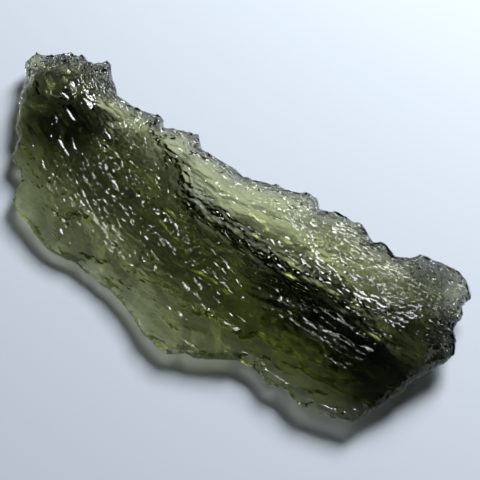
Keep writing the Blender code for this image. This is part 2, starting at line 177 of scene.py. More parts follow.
# Unevenness of a pattern from place to place: its middle, its swing, its least and its most
TERRACE_SWELL = (0.7, 1.2, 0.0, 1.3)
FOLD_SWELL = (0.8, 1.4, 0.1, 1.5)
PIT_SWELL = (0.75, 0.9, 0.15, 1.4)
CUP_SWELL = (0.8, 1.1, 0.1, 1.5)
THREAD_SWELL = (0.7, 1.6, 0.0, 1.0)

# Fine etching that only this skin has: long narrow hollows, (length, width, depth)
PIT_SIZES = [(0.75, 0.33, 0.085), (0.42, 0.20, 0.055)]
UNDER_PITS = [(1.2, 0.50, 0.060), (0.60, 0.26, 0.030)]
PIT_LEAN = 0.55
PIT_MEAN = 0.45
# How far the pits are pushed about, the length and the width over which that changes, and the
# length and the width of the patches where they are deeper or shallower
PIT_WARP = (0.35, 1.7, 0.8)
PIT_PATCH = (3.1, 1.9)
# How far the etching turns from the grain on the middle of the flat, in degrees, where across
# the flat the turn begins and is full, and its middle and reach along the shard
ETCH_TURN = 10.0
ETCH_TURN_BAND = (-0.8, -3.3)
ETCH_TURN_MIDDLE = 4.0
ETCH_TURN_REACH = 6.0
# Depth of the etching on the wing and on its smooth stripe, as a share of that on the plain skin,
# with where each begins and is full: past the crest, before the second ridge, and along the shard
WING_ETCH = 1.9
WING_START = (0.5, 2.0)
WING_LEFT = (1.0, 6.0)
STRIPE_ETCH = 0.25
STRIPE_START = (0.0, 0.3)
STRIPE_STOP = (0.0, 0.4)
STRIPE_LEFT = (-1.0, 2.0)
STRIPE_RIGHT = (10.5, 7.5)
# Share of its depth that the etching loses at the thin near rim, with the distance from the rim
# and the band across the shard where this begins and is full, and the shares that the etching
# and the cups lose on other kinds of skin
NEAR_ETCH_LOSS = 0.20
NEAR_ETCH_RIM = (2.0, 1.0)
NEAR_ETCH_BAND = (-1.0, -3.0)
PATCH_ETCH_LOSS = 0.8
PATCH_CUP_LOSS = 0.9
CRUMBLE_ETCH_LOSS = 0.8
# Smoother patch at the left end: middle and half axes, and how many of these out its edge ends
SMOOTH_PATCH = (-15.4, 1.3, 3.8, 2.6)
SMOOTH_PATCH_EDGE = 1.5
# The scar's skin: shares of the lumps and of the etching that it has
SCAR_LUMPS = 0.15
SCAR_ETCH = 0.08

# Cups with tilted floors on the flat: (length, width, tilt), the way they lean and their spread;
# their warp and patches are given as for the pits
CUP_FACETS = [(0.95, 0.38, 0.70), (0.55, 0.26, 0.60)]
CUP_LEAN = (0.50, 0.62)
CUP_LEAN_ON_SLOPE = 0.50
CUP_SPREAD = 0.60
CUP_WARP = (0.4, 1.1, 0.7)
CUP_PATCH = (2.3, 1.2)
# Where the cups begin and are full, from the crest and from the rim, and where they lean as on
# the near slope, from the crest and along the shard
CUP_CREST = (0.8, -0.2)
CUP_RIM = (1.0, 2.5)
CUP_SLOPE = (-3.0, -2.0)
CUP_SLOPE_LEFT = (-2.0, 2.0)
# Rows in which the cups are deepest: gap between rows, how far they sway, length and width of
# the sway, and the share of the depth between the rows and in them
CUP_ROW_GAP = 1.45
CUP_ROW_SWAY = 0.9
CUP_ROW_PATCH = (6.0, 3.0)
CUP_ROW_DEPTH = (0.45, 1.3)

# Terraces that face the near edge: (length, width, height), the share of each that is steep, and
# their strength along the shard: (x, share)
TERRACE_SIZES = [(5.0, 1.15, 0.33), (2.6, 0.55, 0.20)]
TERRACE_STEEP = 0.36
TERRACE_SHARE = [(-20, 0.2), (-16, 0.3), (-12, 0.1), (-6, 0.3), (-2, 0.8), (2, 1.1), (18, 1.1), (21, 0.5)]
# How far the terraces sway, how many widths wide the sway is, patches in one length and one
# width, and where they begin and are full, from the crest and from the near edge
TERRACE_SWAY = 1.1
TERRACE_SWAY_WIDTH = 2.2
TERRACE_PATCH = (1.7, 0.8)
TERRACE_CREST = (0.0, -0.5)
TERRACE_NEAR = (-6.0, -3.5)

# Folds that run along the rim: gap, height, the share of each that is steep, how far they sway,
# the size of the sway, and the size of the patches where they are higher or lower
FOLD_GAP = 0.46
FOLD_HEIGHT = 0.26
FOLD_STEEP = 0.38
FOLD_SWAY = 1.3
FOLD_SWAY_SIZE = 1.4
FOLD_PATCH = 0.9

# Crumbled skin: its hollows (length, width, depth), how far in from the far and the near rim it
# reaches, its share at the near rim, and where it begins and is full
CRUMBLE_SIZES = [(1.3, 0.45, 0.42), (0.60, 0.32, 0.24)]
FAR_CRUMBLE = 1.25
FAR_CRUMBLE_START = (1.0, 2.5)
NEAR_CRUMBLE = 0.7
NEAR_CRUMBLE_SHARE = 0.7
NEAR_CRUMBLE_LEFT = (1.0, 4.0)
NEAR_CRUMBLE_BAND = (0.0, -2.0)
# Crumbled lobes: (x, y, radius), how many radii out their edge ends, and how fast it fades
CRUMBLED = [(17.8, 7.6, 2.2), (20.6, 5.5, 1.6), (-19.6, 6.2, 1.7), (-16.2, 7.0, 1.7), (-21.4, 3.9, 0.9),
            (21.2, 2.4, 1.0)]
LOBE_EDGE = 1.6
LOBE_FALL = 1.5

# The grain of the glass, turned a little from the shard's axis at its left end
GRAIN_TURN = [(-22, -16.0), (-6, -9.0), (6, -2.0), (14, 2.0), (22, 4.0)]

# Where each pattern is read from the noise, so that none repeats another: its start, and how much
# further each millimetre of a pattern's width takes it
PLACES = {
    "hollow bend": (11.0, 0.0, 0.0, 0.0),
    "under lumps": (31.0, 7.0, 0.0, 0.0),
    "under hollows": (40.0, 17.0, 0.0, 0.0),
    "pit warp": (5.0, 3.0, 0.0, 0.0),
    "pit swell": (0.0, 0.0, 90.0, 50.0),
    "pits": (0.0, 0.0, 13.0, 29.0),
    "crumbs": (7.0, 3.0, 0.0, 0.0),
    "under pits": (17.0, 9.0, 0.0, 0.0),
    "under crumbs": (27.0, 13.0, 0.0, 0.0),
    "cup warp": (15.0, 23.0, 0.0, 0.0),
    "cup swell": (0.0, 0.0, 70.0, 80.0),
    "cups": (0.0, 0.0, 3.0, 0.0),
    "cup rows": (44.0, 12.0, 0.0, 0.0),
    "terrace sway": (0.0, 20.0, 60.0, 0.0),
    "terrace swell": (9.0, 33.0, 0.0, 0.0),
    "fold sway": (70.0, 12.0, 0.0, 0.0),
    "fold swell": (31.0, 55.0, 0.0, 0.0),
    "shade streaks": (41.0, 0.0, 0.0, 37.0),
    "threads": (19.0, 0.0, 0.0, 71.0),
    "thread swell": (83.0, 0.0, 0.0, 61.0),
}

# Mesh steps on the plain skin, on the terraces and on the crumbled skin
TOP_STEPS = (0.115, 0.100, 0.080)
UNDER_STEPS = (0.235, 0.235, 0.090)
# How far a point may be off its place, and how far from the rim it stays, in steps
STEP_JITTER = 0.18
STEP_FROM_RIM = 0.55
# Where the steps of the terraces are used, from the crest and along the shard, and the share of
# crumbled skin from which its own are
TERRACED_BAND = (-5.0, 0.3)
TERRACED_LEFT = -1.0
CRUMBLED_ENOUGH = 0.25
# Points of the mesh closer than this would be one
SAME_POINT = 1e-5
# Least thickness inside the rim, and the height below which the underside lies on the plane
THINNEST = 0.30
FLAT_ENOUGH = 0.02

SEED = 20
EDGE_SEED = SEED + 5
TOP_SEED = SEED + 1
UNDER_SEED = SEED + 11
# Points measured at once, and the distance from the rim within which its small chips count
CHUNK = 4096
FINE_CHUNK = 1024
CLOSE = 1.3

# Where the camera stands, in degrees, and the frame it takes in; its near limit is in metres
CAMERA_ELEVATION = 60.0
CAMERA_AZIMUTH = 37.0
CAMERA_LENS = 85.0
CAMERA_SENSOR = 36.0
CAMERA_SPAN = 38.5
CAMERA_AIM = (3.45, 1.7, 1.5)
CAMERA_CLIP = 0.005
VIEW_LOOK = "Medium High Contrast"
EXPOSURE = -0.2

# Window light from behind, as the cast shadow shows, and the room's own faint light; its distance
# and its size are in metres
LIGHT_ELEVATION = 43.0
LIGHT_TURN = 36.0
LIGHT_DISTANCE = 0.20
LIGHT_SIZE = 0.088
LIGHT_POWER = 0.54
LIGHT_COLOUR = (0.93, 0.97, 1.0)
WORLD_COLOUR = (0.80, 0.88, 1.0)
WORLD_STRENGTH = 0.05
# Paper: half its side and its depth below the shard, in metres
FLOOR_HALF = 0.6
FLOOR_DROP = 0.00002
FLOOR_COLOUR = (0.72, 0.755, 0.82)
FLOOR_ROUGHNESS = 0.9

# Glass; its absorption is per metre
GLASS_IOR = 1.49
ABSORPTION = (0.485, 0.525, 0.08)
ABSORPTION_DENSITY = 330.0
# Roughness: glossy skin, its rim, and the frosted underside where it rests
GLOSS = 0.04
RIM_FROST = 0.12
UNDER_FROST = 0.32
UNDER_FROST_EDGE = (-0.3, -1.3)
# Painted shade: patches darkened where the thick body and the paper under it lie in shade,
# those near the upper face and those near the underside:
# (x, y, half length, half width, turn in degrees, share of light kept)
TOP_PAINTED_SHADE = [
    (15.4, -1.5, 7.6, 1.9, -5, 0.26), (4.0, 0.7, 6.5, 0.9, -8, 0.36), (19.4, -3.2, 1.6, 1.5, 0, 0.25),
    (-15.8, 1.0, 3.6, 2.4, 12, 0.23), (-17.0, 4.4, 3.5, 1.4, 12, 0.75), (-16.5, 6.8, 4.0, 2.4, 0, 0.75),
    (18.0, -5.0, 2.2, 1.3, 0, 0.55), (17.7, 3.3, 4.2, 2.2, 0, 0.18), (12.0, 5.2, 5.0, 1.6, 6, 0.28),
    (-7.5, -6.3, 3.4, 1.0, -6, 0.70)]
UNDER_PAINTED_SHADE = [
    (15.0, 0.2, 8.0, 2.1, -4, 0.08), (-14.8, 2.2, 3.4, 2.2, 12, 0.23), (19.2, -2.2, 1.8, 1.5, 0, 0.25),
    (-9.5, 0.0, 6.0, 2.4, -12, 0.31), (-1.0, -1.2, 6.5, 2.4, -10, 0.35)]
# Streaky edge of the painted shade: its width, then (length, width, strength) of the streaks
SHADE_EDGE = 0.45
SHADE_STREAKS = [(5.0, 0.55, 0.35), (2.2, 0.24, 0.30)]
# Thin dark threads along the grain, partly flow lines of the glass and partly painted shade for the
# dark lines of the etched relief: (length, gap across, share of light lost), how near to zero the
# noise is within one, and the length and width of the patches where they are stronger
SHADE_THREADS = [(2.6, 0.55, 0.26), (1.2, 0.30, 0.22)]
THREAD_WIDTH = 0.14
THREAD_PATCH = (3.0, 1.1)
# Shares of light kept by the yellower glass of the wing, and painted shade on the crumbled skin
# for the dark of its crumpled relief; where each begins and is full, past the crest and across
# the shard
WING_TINT = (1.0, 1.0, 0.78)
WING_TINT_START = (0.0, 1.0)
CRUMBLE_PAINTED_SHADE = (0.32, 0.32, 0.34)
CRUMBLE_SHADE_BAND = (-1.0, 1.0)

# Finest etched cups, left to the material: turn and stretch of the grain, (number per metre,
# share of the depth) of each size, how round they are, their depth in metres, and the share of
# it that the underside has
GRAIN_ANGLE = 0.07
GRAIN_SCALE = (0.42, 1.0, 1.0)
CUP_SIZES = [(2900.0, 1.0), (5200.0, 0.35)]
CUP_ROUNDNESS = 2.0
CUP_DEPTH = 0.00004
UNDER_CUPS = 0.5
# Fibrous grooves along the grain: stretch, number per metre across it, depth in metres
GROOVE_STRETCH = (0.07, 1.0, 1.0)
GROOVE_SCALE = 3600.0
GROOVE_DETAIL = 2.0
GROOVE_DEPTH = 0.00005
# Where the skin is fibrous: middle and reach beside the crest, how many reaches out the edge
# ends, and where along the shard it begins and is full; then the same for the wing
FIBRE_MIDDLE = -0.6
FIBRE_REACH = 1.6
FIBRE_EDGE = 1.6
FIBRE_LEFT = (-1.0, 5.0)
FIBRE_WING = (0.0, 0.8)
FIBRE_WING_LEFT = (8.0, 13.0)


def along(table, x, column=1):
    """Value of a table's column at x, straight between its rows."""
    rows = np.array(table, dtype=float)
    return np.interp(x, rows[:, 0], rows[:, column])


def ramp(value, start, end):
    """Share that grows from 0 at the start to 1 at the end."""
    return np.clip((value - start) / (end - start), 0.0, 1.0)


def grown(d, reach):
    """Share of its full height that a relief has at a distance from the rim."""
    return 1.0 - np.exp(-d / reach)


def soft_min(a, b, width):
    """Smaller of a and b, with the meeting line rounded over the width."""
    blend = np.clip(0.5 + 0.5 * (b - a) / width, 0.0, 1.0)
    return b + (a - b) * blend - width * blend * (1.0 - blend)


def soft_max(a, b, width):
    """Larger of a and b, with the meeting line rounded over the width."""
    return -soft_min(-a, -b, width)


def place(u, v, pattern, width=0.0):
    """Where a pattern, in one of its widths, is read from the noise."""
    start_u, start_v, width_u, width_v = PLACES[pattern]
    return u + start_u + width_u * width, v + start_v + width_v * width


class Noise:
    """Smooth gradient noise and cell patterns on a seeded table."""

    TABLE = 256
    # Farther than any cell's middle can be
    FAR_OFF = 9.0
    # Square of a bowl's reach, the height of its walls, and the square of a cup floor's reach
    BOWL_REACH = 0.55
    BOWL_TOP = 1.3
    FLOOR_REACH = 0.7

    def __init__(self, seed):
        rng = np.random.default_rng(seed)
        self.order = rng.permutation(self.TABLE)
        angle = rng.uniform(0.0, 2.0 * math.pi, self.TABLE)
        self.slope = np.stack([np.cos(angle), np.sin(angle)], axis=-1)
        self.offset = rng.uniform(0.0, 1.0, (self.TABLE, 2))

    def cell(self, i, j):
        """Number of the cell in column i and row j."""
        return self.order[(self.order[i % self.TABLE] + j) % self.TABLE]

    def around(self, u, v):
        """The nine cells round each point: their numbers, and how far off their middles are."""
        i = np.floor(u).astype(int)
        j = np.floor(v).astype(int)
        for di in (-1, 0, 1):
            for dj in (-1, 0, 1):
                cell = self.cell(i + di, j + dj)
                offset = self.offset[cell]
                yield cell, i + di + offset[..., 0] - u, j + dj + offset[..., 1] - v

    def smooth(self, u, v):
        """Gradient noise, about -0.7 to 0.7, with features about one unit across."""
        i = np.floor(u).astype(int)
        j = np.floor(v).astype(int)
        fu = u - i
        fv = v - j
        total = np.zeros_like(u)
        for di in (0, 1):
            for dj in (0, 1):
                slope = self.slope[self.cell(i + di, j + dj)]
                weight = self.fade(1.0 - np.abs(fu - di)) * self.fade(1.0 - np.abs(fv - dj))
                total += weight * (slope[..., 0] * (fu - di) + slope[..., 1] * (fv - dj))
        return total

    @staticmethod
    def fade(share):
        """Smooth rise from 0 to 1, level at both ends."""
        return share ** 3 * (share * (share * 6 - 15) + 10)

    def uneven(self, u, v, swell):
        """Strength that changes from place to place, between the swell's least and its most."""
        middle, swing, least, most = swell
        return np.clip(middle + swing * self.smooth(u, v), least, most)

    def hollows(self, u, v, lean=0.0):
        """Bowls with sharp walls between them, deeper on their near side as they lean more."""
        nearest = np.full_like(u, self.FAR_OFF)
        slant = np.zeros_like(u)
        for _, du, dv in self.around(u, v):
            gap = du * du + dv * dv
            slant = np.where(gap < nearest, dv, slant)
            nearest = np.minimum(nearest, gap)
        return np.clip(nearest / self.BOWL_REACH, 0.0, self.BOWL_TOP) - lean * slant

    def facets(self, u, v, lean, spread):
        """Shallow cups whose floors lean one way, each tilted from it at random by the spread."""
        nearest = np.full_like(u, self.FAR_OFF)
        tilted = np.zeros_like(u)
        for cell, du, dv in self.around(u, v):
            gap = du * du + dv * dv
            tilt = spread * self.slope[self.order[cell]]
            floor_height = (tilt[..., 0] + lean[0]) * du + (tilt[..., 1] + lean[1]) * dv
            tilted = np.where(gap < nearest, floor_height, tilted)
            nearest = np.minimum(nearest, gap)
        return tilted * np.clip(1.0 - nearest / self.FLOOR_REACH, 0.0, 1.0)


def jagged(corners, step, jag, seed):
    """Closed loop through the corners, its points a step apart and moved a little across."""
    rng = np.random.default_rng(seed)
    points = []
    for start, end in zip(corners, np.roll(corners, -1, axis=0)):
        run = end - start
        length = np.hypot(*run)
        steps = max(1, round(length / step))
        across = np.array([-run[1], run[0]]) / length
        for i in range(steps):
            shift = rng.uniform(-jag, jag) if i else 0.0
            points.append(start + run * i / steps + across * shift)
    return np.array(points)


def outline():
    """Closed outline with its small jags, as an array of points."""
    corners = np.array(FAR_EDGE + RIGHT_END + NEAR_EDGE + LEFT_END, dtype=float)
    return jagged(corners, EDGE_STEP, EDGE_JAG, SEED)


def outline_middle():
    """Middle of the outline's box, which becomes the origin."""
    loop = outline()
    return (loop.min(axis=0) + loop.max(axis=0)) / 2.0


def edge_gap(points, loop):
    """Distance from each point to the closed loop."""
    run = np.roll(loop, -1, axis=0) - loop
    offset_x = points[:, 0:1] - loop[:, 0]
    offset_y = points[:, 1:2] - loop[:, 1]
    share = (offset_x * run[:, 0] + offset_y * run[:, 1]) / (run * run).sum(-1)
    share = np.clip(share, 0.0, 1.0)
    gap = (offset_x - share * run[:, 0]) ** 2 + (offset_y - share * run[:, 1]) ** 2
    return np.sqrt(gap.min(axis=1))


def inside(points, loop):
    """True for the points inside the closed loop."""
    x, y = points[:, 0:1], points[:, 1:2]
    x0, y0 = loop[:, 0], loop[:, 1]
    x1, y1 = np.roll(x0, -1), np.roll(y0, -1)
    spans = (y0 > y) != (y1 > y)
    rise = np.where(y1 == y0, 1.0, y1 - y0)
    crossing = x < (x1 - x0) * (y - y0) / rise + x0
    return (spans & crossing).sum(axis=1) % 2 == 1


def measure(points, coarse, fine):
    """For each point whether it lies inside the loop, and its distance from it."""
    within = np.zeros(len(points), dtype=bool)
    gap = np.zeros(len(points))
    for i in range(0, len(points), CHUNK):
        part = slice(i, i + CHUNK)
        gap[part] = edge_gap(points[part], coarse)
        within[part] = inside(points[part], coarse)
    close = np.flatnonzero(gap < CLOSE)
    for i in range(0, len(close), FINE_CHUNK):
        part = close[i:i + FINE_CHUNK]
        gap[part] = edge_gap(points[part], fine)
        within[part] = inside(points[part], fine)
    return within, gap


def scatter(coarse, loop, step, seed):
    """Staggered points inside the loop, a step apart and a little uneven, with their rim gaps."""
    rng = np.random.default_rng(seed)
    low, high = loop.min(axis=0), loop.max(axis=0)
    row_gap = step * math.sqrt(3.0) / 2.0
    rows = []
    for row, y in enumerate(np.arange(low[1], high[1], row_gap)):
        x = np.arange(low[0] + (row % 2) * step / 2.0, high[0], step)
        rows.append(np.stack([x, np.full_like(x, y)], axis=-1))
    points = np.concatenate(rows)
    points += rng.uniform(-STEP_JITTER, STEP_JITTER, points.shape) * step
    within, gap = measure(points, coarse, loop)
    kept = within & (gap > STEP_FROM_RIM * step)
    return points[kept], gap[kept]


def zones(points, d):
    """Where each point lies: 0 on the plain skin, 1 on the terraces, 2 on the crumbled skin."""
    x, y = points[:, 0], points[:, 1]
    past_crest = y - along(CREST, x)
    in_band = (past_crest > TERRACED_BAND[0]) & (past_crest < TERRACED_BAND[1])
    terraced = in_band & (x > TERRACED_LEFT)
    return np.where(crumble(x, y, d) > CRUMBLED_ENOUGH, 2, np.where(terraced, 1, 0))


def fill(coarse, loop, steps, seed):
    """Points inside the loop with their rim gaps, each zone at its own step."""
    kept = []
    for zone, step in enumerate(steps):
        points, d = scatter(coarse, loop, step, seed + zone)
        chosen = zones(points, d) == zone
        kept.append(np.column_stack([points[chosen], d[chosen]]))
    return np.concatenate(kept)


def rim_height(x, y):
    """Height of the rim, from the near edge's table to the far edge's."""
    share = ramp(y, *RIM_BAND)
    return along(NEAR_RIM, x) * (1.0 - share) + along(FAR_RIM, x) * share


def turned(x, y, turn):
    """Coordinates along and across a direction turned from the shard's axis, in degrees."""
    turn = np.radians(turn)
    return x * np.cos(turn) + y * np.sin(turn), -x * np.sin(turn) + y * np.cos(turn)


def grain_frame(x, y):
    """Coordinates along and across the grain of the glass."""
    return turned(x, y, along(GRAIN_TURN, x))


def etch_frame(x, y):
    """Coordinates along and across the fine etching, which turns a little on the middle of the flat."""
    middle_share = np.exp(-((x - ETCH_TURN_MIDDLE) / ETCH_TURN_REACH) ** 2)
    return turned(x, y, along(GRAIN_TURN, x) + ETCH_TURN * ramp(y, *ETCH_TURN_BAND) * middle_share)


def ripples(u, v):
    """Long low swellings that lie along the grain."""
    total = np.zeros_like(u)
    for x, y, height in RIPPLES:
        middle_u, middle_v = grain_frame(np.array([x], dtype=float), np.array([y], dtype=float))
        du = (u - middle_u) / RIPPLE_LENGTH
        dv = (v - middle_v - RIPPLE_SLANT * (u - middle_u)) / RIPPLE_WIDTH
        steep_side = np.where(dv > 0.0, RIPPLE_STEEPNESS, 1.0)
        total += height * np.exp(-du * du - dv * dv * steep_side)
    return total


def scar_height(x, d, rim):
    """Bowl of the broken scar, measured up from the near edge."""
    outside = np.clip(SCAR_ENDS[0] - x, 0.0, None) + np.clip(x - SCAR_ENDS[1], 0.0, None)
    lip = rim + RIM_HALF * SCAR_LIP
    return lip + SCAR_RISE[0] * d + SCAR_RISE[1] * d * d + SCAR_CLOSE * outside ** 2


def top_form(x, y, d, rim):
    """Crest, far slope, near slope, flat, scar and rim of the upper face."""
    shoulder = rim + RIM_HALF
    past_crest = y - along(CREST, x)
    crest = along(CREST, x, 2)
    far_share = np.clip(past_crest, 0.0, None) / (np.abs(past_crest) + d + NO_GAP)
    far_slope = shoulder + (crest - shoulder) * (1.0 - far_share ** FAR_FALL)
    ridge_gap = (y - along(FAR_RIDGE, x)) / FAR_RIDGE_WIDTH
    far_slope += along(FAR_RIDGE, x, 2) * np.exp(-np.abs(ridge_gap))
    drop = np.clip(-past_crest, 0.0, None)
    near_slope = crest - np.tan(np.radians(along(CREST, x, 3))) * drop
    near_share = drop / (drop + d + NO_GAP)
    flat = shoulder + (along(FLAT, x) - shoulder) * (1.0 - near_share ** FLAT_FALL)
    near_side = soft_max(near_slope, flat, FLAT_BLEND)
    height = np.where(past_crest > 0.0, far_slope, near_side)
    height = np.where(y < 0.0, soft_min(height, scar_height(x, d, rim), SCAR_BLEND), height)
    roll = shoulder + math.tan(math.radians(ROLL_ANGLE)) * d
    return soft_min(height, roll, ROLL_BLEND)


def under_form(x, y, d, rim):
    """Belly of the underside, rising to the rim all round."""
    past_crest = y - along(CREST, x)
    far_share = np.clip(past_crest, 0.0, None) / (np.abs(past_crest) + d + NO_GAP)
    rooted = np.clip(1.0 + past_crest / WING_ROOT, 0.0, 1.0)
    lift = along(WING_LIFT, x) * rooted * (1.0 - far_share ** FAR_FALL)
    near_rise = np.tan(np.radians(along(UNDER_NEAR, x))) * np.clip(along(UNDER_NEAR, x, 2) - y, 0.0, None)
    far_rise = np.tan(np.radians(along(UNDER_FAR, x))) * np.clip(y - along(UNDER_FAR, x, 2), 0.0, None)
    end_rise = math.tan(math.radians(UNDER_END_ANGLE)) * np.clip(np.abs(x) - UNDER_END_START, 0.0, None)
    return soft_min(near_rise + far_rise + end_rise, rim - RIM_HALF + lift, UNDER_BLEND)


def in_scar(x, y, d, rim):
    """True where the skin is the scar's."""
    return (scar_height(x, d, rim) - SCAR_MARGIN < top_form(x, y, d, rim)) & (y < 0.0)


def smooth_patch(x, y):
    """Share of the smoother patch of skin at the left end."""
    middle_x, middle_y, half_length, half_width = SMOOTH_PATCH
    reach = np.hypot((x - middle_x) / half_length, (y - middle_y) / half_width)
    return np.clip(SMOOTH_PATCH_EDGE - reach, 0.0, 1.0)


def etch_strength(x, y, d):
    """How deeply the skin is etched from place to place; 1 on the plain skin."""
    past_crest = y - along(CREST, x)
    in_stripe = ramp(past_crest, *STRIPE_START) * ramp(along(FAR_RIDGE, x) - y, *STRIPE_STOP)
    in_stripe *= ramp(x, *STRIPE_LEFT) * ramp(x, *STRIPE_RIGHT)
    on_wing = ramp(past_crest, *WING_START) * ramp(x, *WING_LEFT) * (1.0 - in_stripe)
    near_rim = ramp(d, *NEAR_ETCH_RIM) * ramp(y, *NEAR_ETCH_BAND)
    strength = 1.0 - (1.0 - STRIPE_ETCH) * in_stripe + (WING_ETCH - 1.0) * on_wing
    strength -= NEAR_ETCH_LOSS * near_rim
    return strength * (1.0 - PATCH_ETCH_LOSS * smooth_patch(x, y))


def zigzag(phase, steep):
    """Straight rise over the steep share of each phase, then a straight fall; 0 to 1."""
    share = phase - np.floor(phase)
    return np.where(share < steep, share / steep, (1.0 - share) / (1.0 - steep))


def terraces(x, y, u, v, noise):
    """Small steep steps that face the near edge, long along the grain."""
    total = np.zeros_like(u)
    for length, width, height in TERRACE_SIZES:
        sway_place = place(u / length, v / (TERRACE_SWAY_WIDTH * width), "terrace sway", width)
        step = zigzag(v / width + TERRACE_SWAY * noise.smooth(*sway_place), TERRACE_STEEP)
        swell_place = place(TERRACE_PATCH[0] * u / length, TERRACE_PATCH[1] * v / width, "terrace swell")
        total += height * noise.uneven(*swell_place, TERRACE_SWELL) * (step - 0.5)
    near_side = ramp(y - along(CREST, x), *TERRACE_CREST) * ramp(y, *TERRACE_NEAR)
    return total * near_side * along(TERRACE_SHARE, x)


def crumble(x, y, d):
    """Share of crumbled skin: along the far rim, the right of the near rim and on the lobes."""
    past_crest = y - along(CREST, x)
    far_side = ramp(past_crest, *FAR_CRUMBLE_START) * np.exp(-(d / FAR_CRUMBLE) ** 2)
    near_side = ramp(x, *NEAR_CRUMBLE_LEFT) * ramp(y, *NEAR_CRUMBLE_BAND) * np.exp(-(d / NEAR_CRUMBLE) ** 2)
    total = np.maximum(far_side, NEAR_CRUMBLE_SHARE * near_side)
    for middle_x, middle_y, radius in CRUMBLED:
        gap = np.hypot(x - middle_x, y - middle_y) / radius
        total = np.maximum(total, np.clip(LOBE_EDGE - gap, 0.0, 1.0) ** LOBE_FALL)
    return total


def folds(x, y, d, noise):
    """Small folds that run along the rim where the skin is crumbled."""
    sway_place = place(x / FOLD_SWAY_SIZE, y / FOLD_SWAY_SIZE, "fold sway")
    fold = 1.0 - zigzag(d / FOLD_GAP + FOLD_SWAY * noise.smooth(*sway_place), FOLD_STEEP)
    swell = noise.uneven(*place(x / FOLD_PATCH, y / FOLD_PATCH, "fold swell"), FOLD_SWELL)
    return FOLD_HEIGHT * swell * (fold - 0.5)


def fine_etching(u, v, noise, sizes, lean=0.0):
    """Long narrow hollows in several sizes, uneven from place to place."""
    total = np.zeros_like(u)
    warp = PIT_WARP[0] * noise.smooth(*place(u / PIT_WARP[1], v / PIT_WARP[2], "pit warp"))
    for length, width, depth in sizes:
        swell_place = place(u / PIT_PATCH[0], v / PIT_PATCH[1], "pit swell", width)
        pits = noise.hollows(*place(u / length + warp, v / width + warp, "pits", width), lean)
        total += depth * noise.uneven(*swell_place, PIT_SWELL) * (pits - PIT_MEAN)
    return total


def cups(u, v, on_slope, noise):
    """Etched cups with tilted floors, in several sizes and in rows, that catch the light one by one."""
    total = np.zeros_like(u)
    lean = (CUP_LEAN[0], CUP_LEAN[1] + CUP_LEAN_ON_SLOPE * on_slope)
    warp = CUP_WARP[0] * noise.smooth(*place(u / CUP_WARP[1], v / CUP_WARP[2], "cup warp"))
    for length, width, tilt in CUP_FACETS:
        swell_place = place(u / CUP_PATCH[0], v / CUP_PATCH[1], "cup swell", width)
        strength = noise.uneven(*swell_place, CUP_SWELL)
        cup_place = place(u / length + warp, v / width + warp, "cups", width)
        total += tilt * width * strength * noise.facets(*cup_place, lean, CUP_SPREAD)
    row_sway = noise.smooth(*place(u / CUP_ROW_PATCH[0], v / CUP_ROW_PATCH[1], "cup rows"))
    rows = 0.5 + 0.5 * np.sin(2.0 * math.pi * (v / CUP_ROW_GAP + CUP_ROW_SWAY * row_sway))
    between_rows, in_rows = CUP_ROW_DEPTH
    return total * (between_rows + (in_rows - between_rows) * rows)


def upper_face(x, y, d, rim, scarred, noise):
    """Height of the upper face, with all its relief."""
    u, v = grain_frame(x, y)
    pit_u, pit_v = etch_frame(x, y)
    past_crest = y - along(CREST, x)
    lumps = noise.smooth(u / (LUMP_STRETCH * LUMP_SIZE), v / LUMP_SIZE)
    bend_place = place(u / HOLLOW_BEND[1], v / HOLLOW_BEND[1], "hollow bend")
    bend = HOLLOW_BEND[0] * noise.smooth(*bend_place)
    hollows = noise.hollows(u / HOLLOW_LENGTH + bend, v / HOLLOW_WIDTH + bend)
    relief = LUMP_TOP * lumps + HOLLOW_TOP * (hollows - HOLLOW_TOP_MEAN) + ripples(u, v)
    top = top_form(x, y, d, rim) + np.where(scarred, SCAR_LUMPS, 1.0) * grown(d, LUMPS_GROW) * relief
    pits = etch_strength(x, y, d) * fine_etching(pit_u, pit_v, noise, PIT_SIZES, PIT_LEAN)
    on_flat = ramp(past_crest, *CUP_CREST) * ramp(d, *CUP_RIM) * (1.0 - PATCH_CUP_LOSS * smooth_patch(x, y))
    on_slope = ramp(past_crest, *CUP_SLOPE) * ramp(x, *CUP_SLOPE_LEFT)
    fine = pits * grown(d, ETCHING_GROWS) + on_flat * cups(pit_u, pit_v, on_slope, noise)
    fine += terraces(x, y, u, v, noise) * grown(d, LUMPS_GROW)
    top += np.where(scarred, SCAR_ETCH, 1.0) * fine
    crumbs = fine_etching(*place(u, v, "crumbs"), noise, CRUMBLE_SIZES) * grown(d, ETCHING_GROWS)
    return top + crumble(x, y, d) * (crumbs + folds(x, y, d, noise) * grown(d, FOLDS_GROW))


def underside(x, y, d, rim, noise):
    """Height of the underside, with all its relief and the flat spots that it rests on."""
    u, v = grain_frame(x, y)
    lumps = noise.smooth(*place(u / LUMP_SIZE, v / LUMP_SIZE, "under lumps"))
    hollows = noise.hollows(*place(u / HOLLOW_LENGTH, v / HOLLOW_WIDTH, "under hollows"))
    pits = fine_etching(*place(u, v, "under pits"), noise, UNDER_PITS)
    relief = LUMP_UNDER * lumps + HOLLOW_UNDER * (hollows - HOLLOW_UNDER_MEAN) + pits
    crumbs = fine_etching(*place(u, v, "under crumbs"), noise, CRUMBLE_SIZES) * grown(d, ETCHING_GROWS)
    under = under_form(x, y, d, rim) + UNDER_CLEAR + grown(d, LUMPS_GROW) * relief
    under += crumble(x, y, d) * crumbs
    spot = ((x - REST_SPOT[0]) / REST_HALF[0]) ** 2 + ((y - REST_SPOT[1]) / REST_HALF[1]) ** 2
    return np.where((under < UNDER_WEAR) | (spot < 1.0), 0.0, under)


